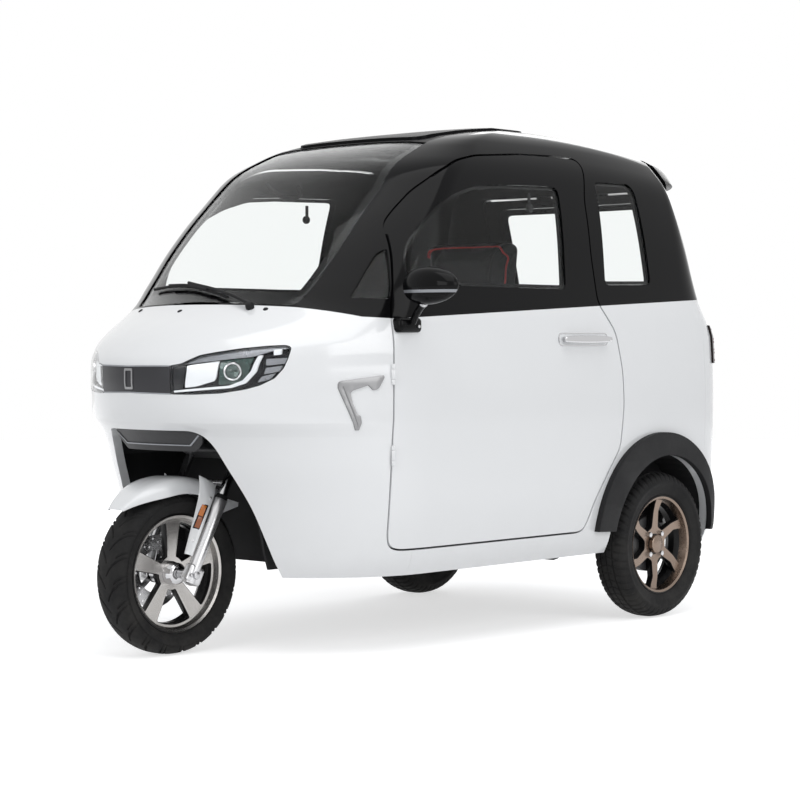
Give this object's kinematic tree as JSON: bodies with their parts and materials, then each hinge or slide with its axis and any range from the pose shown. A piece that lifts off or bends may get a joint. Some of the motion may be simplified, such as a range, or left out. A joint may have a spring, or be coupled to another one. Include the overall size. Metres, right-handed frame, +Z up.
{
  "type": "electric three-wheel cabin moped",
  "caption": "Enclosed electric tricycle moped with a steered front wheel, a driven rear axle, side doors and a rear hatch.",
  "frame": {"origin": "on the ground, at the centre of the plan box of the whole vehicle with its left mirror; the vehicle's own centre plane lies at X = -0.0977", "axes": "+Z up, the nose towards -Y, the vehicle's left side towards +X"},
  "size_m": [1.425, 2.394, 1.639],
  "materials": {
    "body_white": "gloss white paint",
    "gloss_black": "gloss black paint",
    "black_plastic": "matt black",
    "painted_steel": "satin black paint",
    "silver_metal": "silver, machined",
    "tyre_rubber": "black rubber",
    "tinted_glass": "lightly tinted",
    "lamp_clear": "clear lens over silver",
    "lamp_red": "red lens",
    "seat_leather": "black leatherette with red piping",
    "chrome": "polished"
  },
  "bodies": {
    "vehicle": {"front_body": "body_white", "side_body_left": "body_white", "side_body_right": "body_white", "rear_body": "body_white", "side_frame_left": "gloss_black", "side_frame_right": "gloss_black", "roof": "gloss_black", "rear_spoiler": "gloss_black", "nose_band": "gloss_black", "dashboard": "black_plastic", "battery_pack": "black_plastic", "wheel_housing": "black_plastic", "wheel_house_left": "black_plastic", "wheel_house_right": "black_plastic", "arch_flare_left": "black_plastic", "arch_flare_right": "black_plastic", "chassis": "painted_steel", "rear_axle": "painted_steel", "windscreen": "tinted_glass", "quarter_glass_left": "tinted_glass", "quarter_glass_right": "tinted_glass", "corner_glass_left": "tinted_glass", "corner_glass_right": "tinted_glass", "headlamp_left": "lamp_clear", "headlamp_right": "lamp_clear", "tail_lamp_left": "lamp_red", "tail_lamp_right": "lamp_red", "driver_cushion": "seat_leather", "driver_backrest": "seat_leather", "rear_cushion": "seat_leather", "rear_backrest": "seat_leather"},
    "steering": {"fork": "silver_metal", "handlebar": "painted_steel", "mudguard": "body_white"},
    "front_wheel": {"front_tyre": "tyre_rubber", "front_rim": "silver_metal", "brake_disc": "silver_metal"},
    "rear_wheel_left": {"rear_tyre_left": "tyre_rubber", "rear_rim_left": "silver_metal"},
    "rear_wheel_right": {"rear_tyre_right": "tyre_rubber", "rear_rim_right": "silver_metal"},
    "door_left": {"door_panel_left": "body_white", "door_frame_left": "gloss_black", "door_glass_left": "tinted_glass", "door_handle_left": "chrome", "mirror_left": "gloss_black"},
    "door_right": {"door_panel_right": "body_white", "door_frame_right": "gloss_black", "door_glass_right": "tinted_glass", "door_handle_right": "chrome"},
    "hatch": {"hatch_panel": "body_white", "hatch_frame": "gloss_black", "hatch_glass": "tinted_glass"}
  },
  "joints": [
    {"name": "steer", "type": "hinge", "parent": "vehicle", "child": "steering", "pos_m": [-0.0977, -0.67725, 0.75271], "axis": [0, 0.4772, 0.8788], "range_deg": [-35, 35]},
    {"name": "front_wheel_spin", "type": "hinge", "parent": "steering", "child": "front_wheel", "pos_m": [-0.0977, -0.954, 0.243], "axis": [1, 0, 0], "continuous": true},
    {"name": "rear_wheel_left_spin", "type": "hinge", "parent": "vehicle", "child": "rear_wheel_left", "pos_m": [0.4288, 0.767, 0.247], "axis": [1, 0, 0], "continuous": true},
    {"name": "rear_wheel_right_spin", "type": "hinge", "parent": "vehicle", "child": "rear_wheel_right", "pos_m": [-0.6242, 0.767, 0.247], "axis": [1, 0, 0], "continuous": true},
    {"name": "door_left_swing", "type": "hinge", "parent": "vehicle", "child": "door_left", "pos_m": [0.48056, -0.582, 0.238], "axis": [0, 0, -1], "range_deg": [0, 68]},
    {"name": "door_right_swing", "type": "hinge", "parent": "vehicle", "child": "door_right", "pos_m": [-0.67596, -0.582, 0.238], "axis": [0, 0, 1], "range_deg": [0, 68]},
    {"name": "hatch_lift", "type": "hinge", "parent": "vehicle", "child": "hatch", "pos_m": [-0.0977, 1.008, 1.4585], "axis": [1, 0, 0], "range_deg": [0, 65]}
  ]
}
